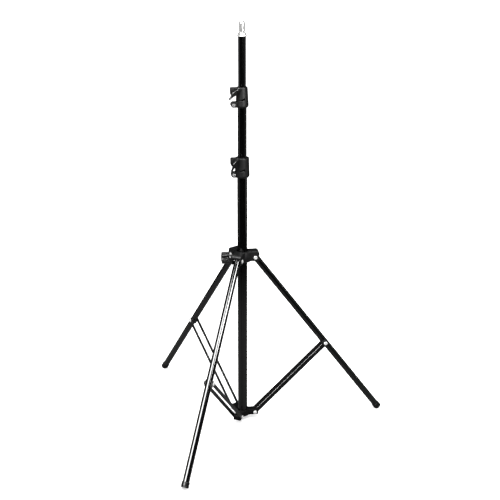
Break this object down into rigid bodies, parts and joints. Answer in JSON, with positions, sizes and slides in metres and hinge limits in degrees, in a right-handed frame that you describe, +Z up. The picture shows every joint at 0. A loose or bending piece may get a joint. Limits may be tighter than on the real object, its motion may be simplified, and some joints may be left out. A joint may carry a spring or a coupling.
{
  "type": "light stand",
  "caption": "Air-cushioned light stand: telescoping column with clamp collars and wing knobs, a stud on top, and folding braced tube legs on a sliding collar.",
  "frame": {"origin": "middle of the base end plug's underside, on the column's axis", "axes": "+Z up the column towards the stud, +X along leg 1, clamp ears and leg lock towards -X"},
  "size_m": [0.6461, 0.7426, 1.1904],
  "materials": {
    "black_tube_paint": "gloss black finish",
    "dark_moulded_plastic": "dark grey moulded, fine texture",
    "black_strut_paint": "black paint on steel strip",
    "bright_nickel": "bright nickel plate",
    "zinc_steel": "zinc plated",
    "black_rubber": "matt black",
    "grey_acetal": "grey, smooth"
  },
  "bodies": {
    "base_section": {"base_tube": "black_tube_paint", "base_end_plug": "dark_moulded_plastic", "bottom_bracket": "dark_moulded_plastic", "bottom_bracket_screw": "zinc_steel", "lower_lock_collar": "dark_moulded_plastic", "lower_clamp_bolt": "bright_nickel", "lower_clamp_nut": "zinc_steel", "lower_guide_bush": "grey_acetal", "lower_wing_nut": "zinc_steel", "bottom_rivet_1": "bright_nickel", "bottom_rivet_2": "bright_nickel", "bottom_rivet_3": "bright_nickel"},
    "middle_section": {"middle_tube": "black_tube_paint", "middle_piston": "grey_acetal", "middle_seal_ring": "black_rubber", "upper_lock_collar": "dark_moulded_plastic", "upper_clamp_bolt": "bright_nickel", "upper_clamp_nut": "zinc_steel", "upper_guide_bush": "grey_acetal", "upper_wing_nut": "zinc_steel"},
    "top_section": {"top_tube": "black_tube_paint", "top_piston": "grey_acetal", "top_seal_ring": "black_rubber", "stud": "bright_nickel"},
    "lower_wing_screw_body": {"lower_wing_screw": "zinc_steel"},
    "lower_wing_knob_body": {"lower_wing_knob": "dark_moulded_plastic"},
    "upper_wing_screw_body": {"upper_wing_screw": "zinc_steel"},
    "upper_wing_knob_body": {"upper_wing_knob": "dark_moulded_plastic"},
    "leg_collar_set": {"leg_collar": "dark_moulded_plastic", "leg_collar_insert": "zinc_steel", "top_rivet_1": "bright_nickel", "top_rivet_2": "bright_nickel", "top_rivet_3": "bright_nickel"},
    "leg_lock_screw": {"leg_collar_screw": "zinc_steel", "leg_lock_pad": "grey_acetal"},
    "leg_lock_knob": {"leg_collar_knob": "dark_moulded_plastic"},
    "strut_1": {"strut_1_left": "black_strut_paint", "strut_1_right": "black_strut_paint"},
    "leg_1": {"leg_tube_1": "black_tube_paint", "leg_top_plug_1": "dark_moulded_plastic", "leg_foot_1": "black_rubber", "leg_clip_1": "dark_moulded_plastic", "mid_rivet_1": "bright_nickel"},
    "strut_2": {"strut_2_left": "black_strut_paint", "strut_2_right": "black_strut_paint"},
    "leg_2": {"leg_tube_2": "black_tube_paint", "leg_top_plug_2": "dark_moulded_plastic", "leg_foot_2": "black_rubber", "leg_clip_2": "dark_moulded_plastic", "mid_rivet_2": "bright_nickel"},
    "strut_3": {"strut_3_left": "black_strut_paint", "strut_3_right": "black_strut_paint"},
    "leg_3": {"leg_tube_3": "black_tube_paint", "leg_top_plug_3": "dark_moulded_plastic", "leg_foot_3": "black_rubber", "leg_clip_3": "dark_moulded_plastic", "mid_rivet_3": "bright_nickel"}
  },
  "joints": [
    {"name": "strut_1_fold", "type": "hinge", "parent": "base_section", "child": "strut_1", "pos_m": [0.036, 0, 0.0104], "axis": [0, 1, 0], "range_deg": [-44.5, 4]},
    {"name": "strut_2_fold", "type": "hinge", "parent": "base_section", "child": "strut_2", "pos_m": [-0.018, 0.03118, 0.0104], "axis": [-0.866, -0.5, 0], "range_deg": [-44.5, 4]},
    {"name": "strut_3_fold", "type": "hinge", "parent": "base_section", "child": "strut_3", "pos_m": [-0.018, -0.03118, 0.0104], "axis": [0.866, -0.5, 0], "range_deg": [-44.5, 4]},
    {"name": "leg_1_fold", "type": "hinge", "parent": "strut_1", "child": "leg_1", "pos_m": [0.24716, 0, 0.2249], "axis": [0, 1, 0], "range_deg": [-7.75, 81.11]},
    {"name": "leg_2_fold", "type": "hinge", "parent": "strut_2", "child": "leg_2", "pos_m": [-0.12358, 0.21405, 0.2249], "axis": [-0.866, -0.5, 0], "range_deg": [-7.75, 81.11]},
    {"name": "leg_3_fold", "type": "hinge", "parent": "strut_3", "child": "leg_3", "pos_m": [-0.12358, -0.21405, 0.2249], "axis": [0.866, -0.5, 0], "range_deg": [-7.75, 81.11]},
    {"name": "leg_collar_pivot", "type": "hinge", "parent": "leg_1", "child": "leg_collar_set", "pos_m": [0.036, 0, 0.51027], "axis": [0, 1, 0], "range_deg": [-36.61, 3.75]},
    {"name": "leg_lock_travel", "type": "slide", "parent": "leg_collar_set", "child": "leg_lock_screw", "axis": [1, 0, 0], "range_m": [0, 0.00231]},
    {"name": "leg_lock_turn", "type": "hinge", "parent": "leg_lock_screw", "child": "leg_lock_knob", "pos_m": [-0.036, 0, 0.50957], "axis": [1, 0, 0], "range_deg": [0, 662.4]},
    {"name": "middle_slide", "type": "slide", "parent": "base_section", "child": "middle_section", "axis": [0, 0, 1], "range_m": [-0.14, 0.45]},
    {"name": "top_slide", "type": "slide", "parent": "middle_section", "child": "top_section", "axis": [0, 0, 1], "range_m": [-0.135, 0.445]},
    {"name": "lower_wing_travel", "type": "slide", "parent": "base_section", "child": "lower_wing_screw_body", "axis": [0, -1, 0], "range_m": [0, 0.00101]},
    {"name": "lower_wing_turn", "type": "hinge", "parent": "lower_wing_screw_body", "child": "lower_wing_knob_body", "pos_m": [-0.0243, -0.02, 0.7914], "axis": [0, -1, 0], "range_deg": [0, 360]},
    {"name": "upper_wing_travel", "type": "slide", "parent": "middle_section", "child": "upper_wing_screw_body", "axis": [0, -1, 0], "range_m": [0, 0.00101]},
    {"name": "upper_wing_turn", "type": "hinge", "parent": "upper_wing_screw_body", "child": "upper_wing_knob_body", "pos_m": [-0.0243, -0.02, 0.9891], "axis": [0, -1, 0], "range_deg": [0, 360]}
  ],
  "couplings": [
    {"joint": "strut_2_fold", "follows": "strut_1_fold", "ratio": 1},
    {"joint": "strut_3_fold", "follows": "strut_1_fold", "ratio": 1},
    {"joint": "leg_1_fold", "follows": "strut_1_fold", "ratio": -1.8115},
    {"joint": "leg_2_fold", "follows": "strut_1_fold", "ratio": -1.8115},
    {"joint": "leg_3_fold", "follows": "strut_1_fold", "ratio": -1.8115},
    {"joint": "leg_collar_pivot", "follows": "strut_1_fold", "ratio": 0.8115},
    {"joint": "leg_lock_travel", "follows": "leg_lock_turn", "m_per_rad": 0.00019894},
    {"joint": "lower_wing_travel", "follows": "lower_wing_turn", "m_per_rad": 0.00015915},
    {"joint": "upper_wing_travel", "follows": "upper_wing_turn", "m_per_rad": 0.00015915}
  ]
}
